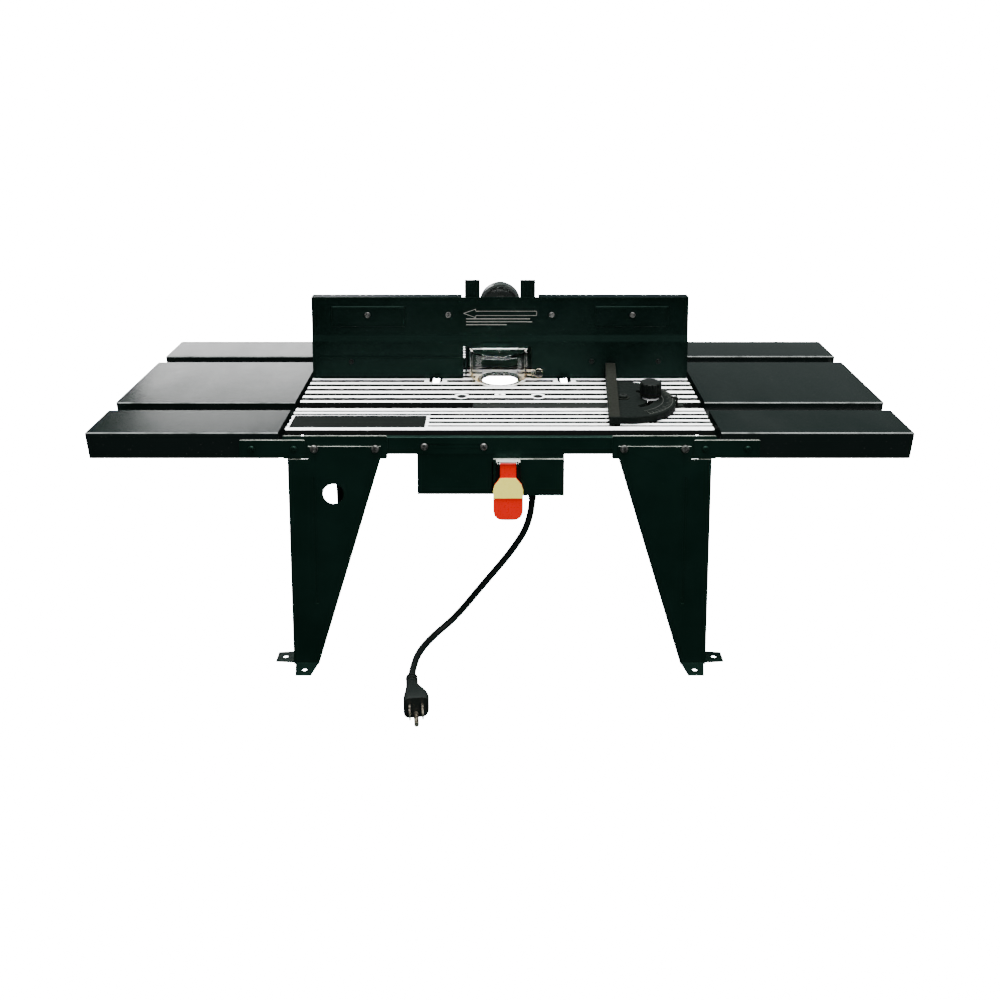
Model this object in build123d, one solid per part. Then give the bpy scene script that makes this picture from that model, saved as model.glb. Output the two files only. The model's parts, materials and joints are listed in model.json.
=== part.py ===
"""Bench-top router table: ribbed aluminium top, steel wings and legs, fence, guard, mitre gauge, switch.

Millimetres. +X runs along the table, +Y towards its back, +Z up.
Origin: on the floor, under the middle of the table (the cord and plug are not counted).
"""
import math
import os

from build123d import *

# ---- driving dimensions -------------------------------------------------------------------
LENGTH = 864.0            # over both wings
DEPTH = 330.2             # wings, front to back
TOP = 260.0               # table surface above the floor
FRONT = -DEPTH / 2        # front plane of the wings
SHEET = 1.2               # folded steel of the aprons, wings and switch box
LEG_SHEET = 1.5

# cast top
TOP_SCREW_X = (-170.0, -104.0, 104.0, 170.0)
PLATE_HALF = 225.0
PLATE_EDGE = 7.5          # casting's front edge behind the front plane
PLATE_SKIN = 5.5
GROOVE_DEEP = 1.6
SLOT_Y = FRONT + 81.6     # mitre slot centre line
SLOT_WIDE = 19.05
SLOT_DEEP = 9.5
LAND_FIRST = 9.6          # width of the casting's outermost land
LAND_FRONT = 7.0          # width and pitch of the lands in front of the mitre slot
PITCH_FRONT = 11.4
LAND_MID = 9.2
BIT_Y = FRONT + 174.0     # cutter axis
BIT_R = 22.0
RING_R = 27.0
RING_THICK = 3.0
ROUTER_X = 43.7           # router screws, half spacings
ROUTER_Y = 62.2
CLAMP_X = 77.0            # fence clamp slots
CLAMP_SLOT = (FRONT + 161.0, FRONT + 292.0)
LABEL = (-222.0, -79.0, FRONT + 14.6, FRONT + 49.3)

# wings
WING_IN = 230.5
WING_OUT = LENGTH / 2
WING_DROP = 28.0
WING_LEAN = 4.0           # the outer end skirt leans in by this much at its foot
WING_GROOVE = (67.0, 91.0)
WING_GROOVE_DEEP = 10.2

# aprons and legs
APRON_LOW = TOP - 24.0
APRON_TOP = TOP - PLATE_SKIN
APRON_X = 221.0           # inner face of the side aprons, outer face of the legs
LEG_FOOT_IN = 194.0
LEG_TOP_IN = 123.7
TAB_HOLE = 2.75
SCREW_Z = TOP - 16.9

# fence
FACE = FRONT + 175.4      # upper face of the fence
LOW_FACE = FACE - 1.5
FENCE_SHEET = 1.5
FENCE_TOP = TOP + 100.3
FENCE_X = 225.0
MOUTH = (-44.0, 38.0)     # opening around the cutter
MOUTH_TOP = TOP + 40.0
CLAMP_Y = FRONT + 206.0
FLOAT = 0.3               # running gap between pieces that move past each other
FIT = 0.05                # radial clearance of a turning pin
FENCE_SCREW_X = (-158.2, -61.8, 61.8, 158.2)
FENCE_SCREW_Z = TOP + 78.7
BASE_SCREW_X = (-178.4, 110.0, 190.0)
BASE_SCREW_Z = TOP + 21.7

# dust port
DRUM_Z = TOP + 91.0       # axis and radius of the dished front
DRUM_R = 24.3
DRUM_LONG = 15.0
PORT_Z = TOP + 84.5       # axis and radius of the hose spigot
PORT_R = 19.0
PORT_BACK = FRONT + 244.0

# guard
GUARD_X = -1.7
GUARD_R = 34.3
GUARD_WALL = 2.5
GUARD_LOW = TOP + 4.5
GUARD_TOP = TOP + 38.0
GUARD_PIVOT = (46.5, TOP + 7.2)

# mitre gauge
HEAD_X = 137.5            # pivot
HEAD_TURN = 4.0           # head's set angle, degrees
HEAD_PLATE = 8.5
HEAD_HIGH = (9.5, 20.5)   # face bar at its front and rear ends
HEAD_R = 58.0
ARC_R = 30.5
KNOB_X = HEAD_X + ARC_R

# switch
BOX = (-86.3, 67.5, FRONT + 2.4, FRONT + 60.0, TOP - 68.8, TOP - 24.0)
BOX_SCREW_X = (-78.4, -16.6)
OUTLET_X = -38.0
PADDLE_X = 8.85
PADDLE_PIN = (FRONT - 5.5, TOP - 31.5)

# cord
CORD_D = 7.4
CORD_X = 35.5
CORD_Y = FRONT + 44.0
RELIEF_LONG = 24.0
PLUG_Z = 11.4
CORD_ROUTE = [
    (CORD_X, CORD_Y, BOX[4] - RELIEF_LONG),
    (34.0, FRONT + 45.0, 141.0),
    (14.0, FRONT + 47.5, 105.0),
    (-19.0, FRONT + 52.0, 62.0),
    (-50.0, FRONT + 58.0, 19.0),
    (-73.0, FRONT + 46.5, 5.2),
    (-88.5, FRONT + 14.0, 4.5),
    (-92.3, FRONT - 20.5, 5.4),
    (-91.0, FRONT - 42.0, PLUG_Z),
]


# ---- helpers ------------------------------------------------------------------------------
def block(x0, x1, y0, y1, z0, z1):
    """Box between two opposite corners."""
    return Pos((x0 + x1) / 2, (y0 + y1) / 2, (z0 + z1) / 2) * Box(x1 - x0, y1 - y0, z1 - z0)


def rod_z(x, y, z0, z1, r):
    return Pos(x, y, (z0 + z1) / 2) * Cylinder(r, z1 - z0)


def rod_y(x, z, y0, y1, r):
    return Pos(x, (y0 + y1) / 2, z) * Rot(90, 0, 0) * Cylinder(r, y1 - y0)


def rod_x(y, z, x0, x1, r):
    return Pos((x0 + x1) / 2, y, z) * Rot(0, 90, 0) * Cylinder(r, x1 - x0)


def flat(plane, points, low, high):
    """Outline on a plane through the origin, extruded between two offsets along its normal."""
    face = make_face(Polyline(*points, close=True))
    return extrude(plane.offset(low) * face, high - low)


def plate_xy(points, z0, z1):
    return flat(Plane.XY, points, z0, z1)


def plate_xz(points, y0, y1):
    """Outline in X and Z, between two depths; the plane's normal is -Y."""
    return flat(Plane.XZ, points, -y1, -y0)


def plate_yz(points, x0, x1):
    return flat(Plane.YZ, points, x0, x1)


def ring_z(x, y, z0, z1, outer, inner):
    return rod_z(x, y, z0, z1, outer) - rod_z(x, y, z0 - 1, z1 + 1, inner)


def left_of(shape):
    """Mirror image on the other side of the table."""
    return mirror(shape, about=Plane.YZ)


def back_of(shape):
    """Mirror image at the back of the table."""
    return mirror(shape, about=Plane.XZ)


def save(name, shape):
    export_step(shape, f"parts/{name}.step")


def save_group(name, shapes):
    save(name, Compound(children=list(shapes)))


def pan_head(r, high):
    """Cross-recessed pan head, flat side down at Z 0."""
    head = Cylinder(r, high, align=(Align.CENTER, Align.CENTER, Align.MIN))
    head = fillet(head.edges().sort_by(Axis.Z)[-1], high * 0.55)
    for turn in (0, 90):
        cut = Box(r * 1.1, r * 0.22, high * 0.9)
        head -= Pos(0, 0, high) * Rot(0, 0, turn) * cut
    return head


def machine_screw(head_r, head_high, shank_r, shank_long):
    """Screw pointing down: head above Z 0, shank below it."""
    shank = Cylinder(shank_r, shank_long + 0.2, align=(Align.CENTER, Align.CENTER, Align.MAX))
    return pan_head(head_r, head_high) + Pos(0, 0, 0.2) * shank


def hex_nut(r, high, bore):
    """Nut standing on Z 0."""
    body = extrude(RegularPolygon(r, 6), high)
    return body - Cylinder(bore, 4 * high)


# ---- cast top -----------------------------------------------------------------------------
def land_spans():
    """Front-to-back spans of the machined lands, as distances behind the front plane."""
    spans = [(PLATE_EDGE, PLATE_EDGE + LAND_FIRST)]
    slot_front = SLOT_Y - SLOT_WIDE / 2 - FRONT
    slot_back = SLOT_Y + SLOT_WIDE / 2 - FRONT
    for i in range(4):
        middle = 24.2 + i * PITCH_FRONT
        spans.append((middle - LAND_FRONT / 2, middle + LAND_FRONT / 2))
    spans.append((slot_front - 6.8, slot_front))
    spans.append((slot_back, slot_back + 6.8))
    first = slot_back + 3.4
    steps = 9
    pitch = (DEPTH - 2 * first) / steps
    for i in range(1, steps):
        middle = first + i * pitch
        spans.append((middle - LAND_MID / 2, middle + LAND_MID / 2))
    mirrored = [(DEPTH - b, DEPTH - a) for a, b in spans[:7]]
    return sorted(spans + mirrored)


def table_top():
    outline = RectangleRounded(2 * PLATE_HALF, DEPTH - 2 * PLATE_EDGE, 3.0)
    body = Pos(0, 0, APRON_TOP) * extrude(outline, PLATE_SKIN)
    lands = land_spans()
    for (_, low), (high, _) in zip(lands, lands[1:]):
        body -= block(-PLATE_HALF - 1, PLATE_HALF + 1, FRONT + low, FRONT + high, TOP - GROOVE_DEEP, TOP + 1)
    # machined pads: clamp slot borders, bit opening boss, router screw bosses, label frame
    for side in (-1, 1):
        x = side * CLAMP_X
        body += block(x - 13.5, x + 13.5, CLAMP_SLOT[0] - 5, CLAMP_SLOT[1] + 5, TOP - 4, TOP)
    body += rod_z(0, BIT_Y, TOP - 4, TOP, RING_R + 4)
    for x in (-ROUTER_X, ROUTER_X):
        for y in (BIT_Y - ROUTER_Y, BIT_Y + ROUTER_Y):
            body += rod_z(x, y, APRON_TOP - 4, TOP, 8.8)
    body += rod_z(0, BIT_Y - 56, TOP - 4, TOP, 6.0)
    frame = block(LABEL[0] - 2, LABEL[1] + 3.2, LABEL[2] - 2, LABEL[3] + 2, TOP - 4, TOP)
    body += frame
    # channel walls and ribs below the skin
    body += block(-PLATE_HALF, PLATE_HALF, SLOT_Y - 13.5, SLOT_Y + 13.5, TOP - SLOT_DEEP - 3.5, APRON_TOP)
    for y in (-120.0, 60.0, 110.0):
        body += block(-200, 200, y - 1.6, y + 1.6, APRON_TOP - 8, APRON_TOP)
    for x in (-150.0, -40.0, 40.0, 150.0):
        body += block(x - 1.6, x + 1.6, SLOT_Y + 13, 146, APRON_TOP - 8, APRON_TOP)
    # cuts
    body -= block(-PLATE_HALF - 1, PLATE_HALF + 1, SLOT_Y - SLOT_WIDE / 2, SLOT_Y + SLOT_WIDE / 2,
                  TOP - SLOT_DEEP, TOP + 1)
    body -= block(LABEL[0], LABEL[1], LABEL[2], LABEL[3], TOP - 1.5, TOP + 1)
    body -= rod_z(0, BIT_Y, TOP - RING_THICK, TOP + 1, RING_R)
    body -= rod_z(0, BIT_Y, TOP - 20, TOP + 1, RING_R - 3)
    body -= Pos(0, BIT_Y, (APRON_TOP + TOP - RING_THICK) / 2) * Cone(30, RING_R - 3, PLATE_SKIN - RING_THICK)
    for x in (-ROUTER_X, ROUTER_X):
        for y in (BIT_Y - ROUTER_Y, BIT_Y + ROUTER_Y):
            body -= rod_z(x, y, TOP - 20, TOP + 1, 2.75)
            body -= Pos(x, y, TOP - 1.4) * Cone(2.75, 5.6, 2.9)
    body -= rod_z(0, BIT_Y - 56, TOP - 20, TOP + 1, 2.1)
    for x in TOP_SCREW_X:
        for y in (FRONT + 12.5, -FRONT - 12.5):
            body -= rod_z(x, y, APRON_TOP - 1, APRON_TOP + 3.2, 2.0)
    middle = (CLAMP_SLOT[0] + CLAMP_SLOT[1]) / 2
    long = CLAMP_SLOT[1] - CLAMP_SLOT[0]
    for side in (-1, 1):
        x = side * CLAMP_X
        slot = extrude(Rot(0, 0, 90) * SlotOverall(long, 8.5), 30)
        pocket = extrude(Rot(0, 0, 90) * SlotOverall(long + 7.0, 16.0), 10)
        body -= Pos(x, middle, TOP - 20) * slot
        body -= Pos(x, middle, TOP - 2.2) * pocket
        body -= block(x - 8.6, x + 8.6, CLAMP_SLOT[0], CLAMP_SLOT[1], APRON_TOP - 12, APRON_TOP)
    return body


def insert_ring():
    ring = ring_z(0, BIT_Y, TOP - RING_THICK, TOP, RING_R - 0.1, BIT_R)
    return chamfer(ring.edges().filter_by(GeomType.CIRCLE).group_by(Axis.Z)[-1], 0.5)


def label_plate():
    plate = block(LABEL[0] + 0.6, LABEL[1] - 0.6, LABEL[2] + 0.6, LABEL[3] - 0.6, TOP - 1.5, TOP - 0.8)
    return fillet(plate.edges().filter_by(Axis.Z), 1.5)


# ---- frame --------------------------------------------------------------------------------
def front_apron():
    """Front rail: upright face with a top flange under the casting and a stiffening lip below."""
    x = APRON_X - 3
    face = block(-x, x, FRONT + 1.2, FRONT + 1.2 + SHEET, APRON_LOW, APRON_TOP)
    flange = block(-x + 13, x - 13, FRONT + 1.2, FRONT + 17, APRON_TOP - SHEET, APRON_TOP)
    lip = block(-x + 13, -90, FRONT + 1.2, FRONT + 9, APRON_LOW, APRON_LOW + SHEET)
    lip += block(90, x - 13, FRONT + 1.2, FRONT + 9, APRON_LOW, APRON_LOW + SHEET)
    rail = face + flange + lip
    for x in (-214.0, -192.9, -129.3, 129.3, 192.9, 214.0):
        rail -= rod_y(x, SCREW_Z, FRONT - 5, FRONT + 8, 2.6)
    for x in TOP_SCREW_X:
        rail -= rod_z(x, FRONT + 12.5, APRON_TOP - 5, APRON_TOP + 5, 2.1)
    for x in BOX_SCREW_X:
        rail -= rod_y(x, TOP - 15.6, FRONT - 5, FRONT + 8, 2.1)
    return rail


def rear_apron():
    return mirror(front_apron(), about=Plane.XZ)


def right_apron():
    """Side rail, notched over the mitre channel."""
    y = -FRONT - 3.2
    rail = block(APRON_X, APRON_X + SHEET, -y, y, APRON_LOW, APRON_TOP)
    rail += block(APRON_X - 14, APRON_X + SHEET, -y + 16, y - 16, APRON_TOP - SHEET, APRON_TOP)
    rail -= block(APRON_X - 20, APRON_X + 5, SLOT_Y - 14.5, SLOT_Y + 14.5, TOP - SLOT_DEEP - 5, TOP)
    for y in side_screw_places():
        rail -= rod_x(y, SCREW_Z, APRON_X - 5, APRON_X + 5, 2.6)
    return rail


def side_screw_places():
    near = [FRONT + 22.0, FRONT + 56.0]
    return near + [-y for y in near]


def corner_panel():
    """Front right gusset plate that joins the rail, the leg and the wing bar."""
    plate = block(117, 226, FRONT, FRONT + SHEET, TOP - 28.5, TOP - 3.5)
    plate = fillet(plate.edges().filter_by(Axis.Y), 2.0)
    for x in (129.3, 192.9, 214.0):
        plate -= rod_y(x, SCREW_Z, FRONT - 5, FRONT + 5, 2.6)
    return plate


def leg(eyed):
    """Front right leg: tapered L-section with two bolted foot tabs."""
    z_tab = TOP - 14.5
    z_low = TOP - 28.5
    x = APRON_X
    t = LEG_SHEET
    outline = [(LEG_TOP_IN, z_tab), (LEG_TOP_IN + 0.3, z_low), (LEG_FOOT_IN, 0), (x, 0), (x, z_low),
               (199.4, z_low), (199.4, z_tab)]
    body = plate_xz(outline, FRONT - t, FRONT)
    side = [(FRONT - t, 0), (FRONT - t, z_low), (FRONT + 2.8, z_low), (FRONT + 2.8, TOP - 8),
            (FRONT + 66, TOP - 8), (FRONT + 66, z_low - 4), (FRONT + 22, 0)]
    body += plate_yz(side, x - t, x)
    front_tab = [(LEG_FOOT_IN + 0.5, FRONT), (LEG_FOOT_IN + 5, FRONT - 22.3), (215.4, FRONT - 22.3),
                 (x - 1.5, FRONT)]
    body += plate_xy(front_tab, 0, t)
    side_tab = [(x - t, FRONT + 0.8), (241.3, FRONT + 2.6), (241.3, FRONT + 18.6), (x - t, FRONT + 21)]
    body += plate_xy(side_tab, 0, t)
    body -= rod_z(207.4, FRONT - 13, -1, 5, TAB_HOLE)
    body -= rod_z(232.3, FRONT + 10.8, -1, 5, TAB_HOLE)
    for screw_x in (129.3, 192.9):
        body -= rod_y(screw_x, SCREW_Z, FRONT - 5, FRONT + 5, 2.6)
    for y in side_screw_places()[:2]:
        body -= rod_x(y, SCREW_Z, x - 5, x + 5, 2.6)
    body -= block(193.0, 195.4, FRONT - t - 1, FRONT - t + 0.5, TOP - 190, TOP - 48)
    if eyed:
        body -= rod_y(174, TOP - 66.8, FRONT - 5, FRONT + 5, 11.0)
    return body


def right_wing():
    """Folded sheet wing with two grooves and a skirt on all four sides."""
    a, b = WING_GROOVE
    g = WING_GROOVE_DEEP
    t = SHEET
    steps = [(0, 0), (a, 0), (a, -g), (b, -g), (b, 0)]
    outline = steps + [(DEPTH - d, z) for d, z in reversed(steps)]
    inner = [(t, -t), (a - t, -t), (a - t, -g - t), (b + t, -g - t), (b + t, -t)]
    inner = inner + [(DEPTH - d, z) for d, z in reversed(inner)]
    outer_pts = [(0, -WING_DROP)] + outline + [(DEPTH, -WING_DROP)]
    inner_pts = [(t, -WING_DROP - 1)] + inner + [(DEPTH - t, -WING_DROP - 1)]

    def place(points):
        return [(FRONT + d, TOP + z) for d, z in points]

    def slope(shift):
        """Everything outside the leaning end skirt."""
        low = TOP - WING_DROP - 2
        x = WING_OUT - shift
        points = [(x - WING_LEAN, low), (x, TOP), (x, TOP + 5), (x + 20, TOP + 5), (x + 20, low)]
        return plate_xz(points, FRONT - 5, -FRONT + 5)

    solid = plate_yz(place(outer_pts), WING_IN, WING_OUT)
    rims = [e for e in solid.edges() if e.length > 150 and e.center().Z > TOP - 0.1]
    solid = fillet(rims, 1.4) - slope(0)
    corners = [e for e in solid.edges() if e.length > WING_DROP - 3 and e.center().X > WING_OUT - WING_LEAN
               and abs(e.center().Y) > DEPTH / 2 - 0.1]
    solid = fillet(corners, 2.0)
    wing = solid - (plate_yz(place(inner_pts), WING_IN + t, WING_OUT - t) - slope(t))
    for y in (FRONT, -FRONT):
        wing -= rod_y(258, SCREW_Z, y - 4, y + 4, 2.1)
    return wing


def wing_bar():
    """Front right strap from the corner panel to the wing."""
    bar = block(202.3, 270.8, FRONT - LEG_SHEET, FRONT, TOP - 27, TOP - 7.7)
    bar = fillet(bar.edges().filter_by(Axis.Y), 1.5)
    for x in (214.0, 258.0):
        bar -= rod_y(x, SCREW_Z, FRONT - 5, FRONT + 5, 2.1)
    return bar


def four_corners(shape):
    """The same piece at all four corners: front right, front left, rear right, rear left."""
    return [shape, left_of(shape), back_of(shape), back_of(left_of(shape))]


def frame_screw(x, length, r=2.5, head=4.2):
    """Screw through the front right corner, head at the front."""
    return Pos(x, FRONT - LEG_SHEET, SCREW_Z) * Rot(90, 0, 0) * machine_screw(head, 2.4, r, length)


def leg_screws():
    one_corner = [frame_screw(x, 9.0) for x in (129.3, 192.9)]
    for y in side_screw_places()[:2]:
        screw = machine_screw(4.2, 2.4, 2.5, 8.0)
        one_corner.append(Pos(APRON_X + SHEET, y, SCREW_Z) * Rot(0, 90, 0) * screw)
    return [copy for screw in one_corner for copy in four_corners(screw)]


def leg_nuts():
    nut = hex_nut(4.6, 3.2, 2.5)
    one_corner = [Pos(x, FRONT + 2.4, SCREW_Z) * Rot(-90, 0, 0) * nut for x in (129.3, 192.9)]
    for y in side_screw_places()[:2]:
        one_corner.append(Pos(APRON_X - LEG_SHEET, y, SCREW_Z) * Rot(0, -90, 0) * nut)
    return [copy for piece in one_corner for copy in four_corners(piece)]


def wing_screws():
    one_corner = [frame_screw(x, 6.0, 2.0, 3.4) for x in (214.0, 258.0)]
    return [copy for screw in one_corner for copy in four_corners(screw)]


def top_screws():
    """Screws that hold the casting down on the rails, driven from below."""
    screws = []
    for x in TOP_SCREW_X:
        for y in (FRONT + 12.5, -FRONT - 12.5):
            screw = Rot(180, 0, 0) * machine_screw(3.8, 2.2, 2.0, 4.2)
            screws.append(Pos(x, y, APRON_TOP - SHEET) * screw)
    return screws


# ---- fence --------------------------------------------------------------------------------
def fence_body():
    """One sheet: proud lower zone, joggle, flat upper zone and a folded top edge."""
    t = FENCE_SHEET
    z0 = TOP + 0.6
    profile = [(LOW_FACE, z0), (LOW_FACE, TOP + 46), (FACE, TOP + 54), (FACE, FENCE_TOP),
               (FACE + 14, FENCE_TOP), (FACE + 14, FENCE_TOP - t), (FACE + t, FENCE_TOP - t),
               (FACE + t, TOP + 54.2), (LOW_FACE + t, TOP + 46.2), (LOW_FACE + t, z0)]
    body = plate_yz(profile, -FENCE_X, FENCE_X)
    for side in (-1, 1):
        x0, x1 = sorted((side * 114.0, side * 201.0))
        pad = block(x0, x1, FACE - 0.6, FACE + 0.1, TOP + 64, TOP + 89)
        pad = chamfer(pad.faces().sort_by(Axis.Y)[0].edges(), 0.5)
        body += pad
    body -= block(MOUTH[0], MOUTH[1], LOW_FACE - 5, FACE + 5, TOP - 1, MOUTH_TOP)
    body -= block(-46, 46, FACE + t, FACE + 20, FENCE_TOP - 3, FENCE_TOP + 1)
    for x in FENCE_SCREW_X:
        body -= rod_y(x, FENCE_SCREW_Z, FACE - 5, FACE + 5, 2.1)
    for x in BASE_SCREW_X:
        body -= rod_y(x, BASE_SCREW_Z, LOW_FACE - 5, FACE + 5, 2.1)
    body -= rod_y(GUARD_PIVOT[0], GUARD_PIVOT[1], LOW_FACE - 5, FACE + 5, 2.1)
    return body


def outfeed_strip():
    """Flat strip on the outfeed half of the fence."""
    strip = block(-216, -45, LOW_FACE - 1.0, LOW_FACE, TOP + 0.8, TOP + 27)
    strip = fillet(strip.edges().filter_by(Axis.Y), 1.5)
    return strip - rod_y(-178.4, BASE_SCREW_Z, LOW_FACE - 5, LOW_FACE + 5, 2.1)


def fence_base():
    """Angle behind the fence: upstand on its back and a foot that slides on the table."""
    t = FENCE_SHEET
    z0 = TOP + FLOAT
    back = FACE
    foot = block(-215, 215, back, FRONT + 238, z0, z0 + t)
    upstand = block(-215, 215, back, back + t, z0, TOP + 44)
    base = foot + upstand
    base -= block(-50, 50, back - 1, FRONT + 216, z0 - 1, TOP + 60)
    for x in (-CLAMP_X, CLAMP_X):
        base -= rod_z(x, CLAMP_Y, z0 - 1, z0 + 5, 3.4)
    for x in BASE_SCREW_X:
        base -= rod_y(x, BASE_SCREW_Z, FACE - 5, FACE + 5, 2.1)
    return base - block(40, 55, back - 1, back + t, z0 + t, TOP + 13)


def right_gusset():
    """Triangular stay between the fence back and the base foot, with a folded edge."""
    y0 = FACE + FENCE_SHEET
    z0 = TOP + FLOAT + FENCE_SHEET
    outline = [(y0, z0), (FRONT + 232, z0), (FRONT + 232, z0 + 6), (y0 + 6, TOP + 90), (y0, TOP + 90)]
    stay = plate_yz(outline, 139.25, 140.75)
    return stay + block(131, 140.75, y0, FRONT + 232, z0, z0 + 1.5)


def fence_screws():
    screws = []
    for x in FENCE_SCREW_X:
        screw = machine_screw(3.4, 1.0, 2.0, 5.6)
        y = FACE - 0.6 if abs(x) > 114 else FACE
        screws.append(Pos(x, y, FENCE_SCREW_Z) * Rot(90, 0, 0) * screw)
    strip_screw = machine_screw(3.0, 0.9, 2.0, 6.0)
    screws.append(Pos(-178.4, LOW_FACE - 1.0, BASE_SCREW_Z) * Rot(90, 0, 0) * strip_screw)
    for x in BASE_SCREW_X[1:]:
        screws.append(Pos(x, LOW_FACE, BASE_SCREW_Z) * Rot(90, 0, 0) * machine_screw(3.0, 0.9, 2.0, 6.0))
    return screws


def clamp_bolt(x):
    """Carriage bolt of one clamp: its head runs under the casting and its shank stands up through the slot."""
    head = rod_z(x, CLAMP_Y, APRON_TOP - 3.3, APRON_TOP - FLOAT, 7.0)
    head = fillet(head.edges().filter_by(GeomType.CIRCLE).sort_by(Axis.Z)[0], 1.6)
    neck = block(x - 3.4, x + 3.4, CLAMP_Y - 3.4, CLAMP_Y + 3.4, APRON_TOP - FLOAT - 0.1, APRON_TOP + 2.5)
    return head + neck + rod_z(x, CLAMP_Y, APRON_TOP, TOP + 22, 3.0)


def clamp_knob(x):
    """Six-lobed hand knob over the bolt, with its steel washer face."""
    z0 = TOP + 3.6
    body = rod_z(x, CLAMP_Y, z0 + 4, z0 + 22, 16.0)
    for i in range(6):
        a = math.radians(60 * i + 30)
        body -= rod_z(x + 18.4 * math.cos(a), CLAMP_Y + 18.4 * math.sin(a), z0 - 1, z0 + 30, 5.4)
    body += rod_z(x, CLAMP_Y, z0, z0 + 5, 9.0)
    body = chamfer(body.faces().sort_by(Axis.Z)[-1].edges(), 1.2)
    return body - rod_z(x, CLAMP_Y, z0 - 1, TOP + 22.5, 3.0 + FIT)


def clamp_washers():
    z0 = TOP + FLOAT + FENCE_SHEET
    return [ring_z(x, CLAMP_Y, z0, z0 + 1.4, 8.0, 3.4) for x in (-CLAMP_X, CLAMP_X)]


def dust_chute():
    """Sheet hood behind the mouth; its front plate rises as two ears beside the round port."""
    y0 = FACE + FENCE_SHEET
    y1 = FRONT + 214.0
    t = 1.5
    gap = 0.1
    drum_back = y0 + 0.4 + DRUM_LONG + gap
    hood = block(-42, 42, y0, y1, TOP + 2, TOP + 84)
    hood -= block(-40.5, 40.5, y0 - 1, y1 - t, TOP + 1, TOP + 82.5)
    hood += block(-42, 42, y0, y0 + t, MOUTH_TOP + 2, TOP + 121)
    hood += block(-56, 56, y1, y1 + t, TOP + 2, TOP + 12)
    hood -= block(-24.0, 24.0, y0 - 1, y0 + t + 1, DRUM_Z, TOP + 130)
    hood -= rod_y(0, DRUM_Z, y0 - 1, drum_back, DRUM_R + gap)
    return hood - rod_y(0, PORT_Z, y0, y1 + 2, PORT_R + 0.4 + gap)


def dust_port():
    """Round port: dished closed front, floor hole over the hood and an open hose spigot behind."""
    y0 = FACE + FENCE_SHEET + 0.4
    back = y0 + DRUM_LONG
    dish = [(0, 3.2), (6.5, 3.2), (8.0, 4.6), (9.5, 6.5), (17.5, 4.0), (21.0, 1.2), (21.6, 0), (DRUM_R, 0),
            (DRUM_R, DRUM_LONG), (0, DRUM_LONG)]
    drum = revolve(make_face(Polyline(*dish, close=True)), Axis.Y)
    port = Pos(0, y0, DRUM_Z) * drum
    port += rod_y(0, PORT_Z, back - 1, FRONT + 216.0, PORT_R + 0.4)
    port += rod_y(0, PORT_Z, back - 1, PORT_BACK, PORT_R)
    port -= rod_y(0, PORT_Z, y0 + 8.5, PORT_BACK + 1, PORT_R - 2)
    return port - block(-13, 13, y0 + 10, FRONT + 211, PORT_Z - PORT_R - 3, PORT_Z - 10)


# ---- guard --------------------------------------------------------------------------------
def bit_guard():
    """Clear half-round shield with a roof, an open front and a pivot foot on its right."""
    y0 = LOW_FACE - FLOAT
    r = GUARD_R
    w = GUARD_WALL
    body = rod_z(GUARD_X, y0, GUARD_LOW, GUARD_TOP, r)
    body -= rod_z(GUARD_X, y0, GUARD_LOW - 1, GUARD_TOP - w, r - w)
    body -= block(-60, 60, y0, y0 + 60, GUARD_LOW - 5, GUARD_TOP + 5)
    body -= block(-20.6, 20.5, y0 - 60, y0 - 8, GUARD_LOW - 1, GUARD_TOP - 4)
    body = fillet(body.edges().filter_by(GeomType.CIRCLE).group_by(Axis.Z)[-1], 1.0)
    body += rod_z(GUARD_X + 0.5, y0 - 15, GUARD_TOP - 1, GUARD_TOP + 0.6, 1.3)
    px, pz = GUARD_PIVOT
    wall = GUARD_X + r - w
    foot = block(wall, px, y0 - 2.4, y0, GUARD_LOW, pz + 4.0) + rod_y(px, pz, y0 - 2.4, y0, 5.4)
    body += foot
    return body - rod_y(px, pz, y0 - 10, y0 + 10, 2.0 + FIT)


def guard_screw():
    px, pz = GUARD_PIVOT
    y = LOW_FACE - FLOAT - 2.4 - FLOAT
    head = pan_head(4.0, 2.4)
    screw = Pos(px, y, pz) * Rot(90, 0, 0) * head
    return screw + rod_y(px, pz, y, FACE + 6, 2.0)


def fence_nuts():
    """Nuts behind the fence: one on the guard's pivot screw, the rest on the sheet screws."""
    nut = Rot(-90, 0, 0) * hex_nut(4.0, 3.0, 2.0)
    places = [(x, FACE + FENCE_SHEET, FENCE_SCREW_Z) for x in FENCE_SCREW_X]
    places += [(x, FACE + FENCE_SHEET, BASE_SCREW_Z) for x in BASE_SCREW_X]
    places.append((GUARD_PIVOT[0], LOW_FACE + FENCE_SHEET, GUARD_PIVOT[1]))
    return [Pos(*place) * nut for place in places]


# ---- mitre gauge --------------------------------------------------------------------------
def miter_bar():
    """Steel runner in the table slot, tapped for the pivot and the lock stud."""
    bar = block(-30, 205, SLOT_Y - 9.4, SLOT_Y + 9.4, TOP - 9.0, TOP - 0.5)
    bar = chamfer(bar.edges().filter_by(Axis.Z), 1.5)
    bar -= rod_z(HEAD_X, SLOT_Y, TOP - 8, TOP + 5, 3.0)
    return bar - rod_z(KNOB_X, SLOT_Y, TOP - 8, TOP + 5, 3.0 + FIT)


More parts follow.
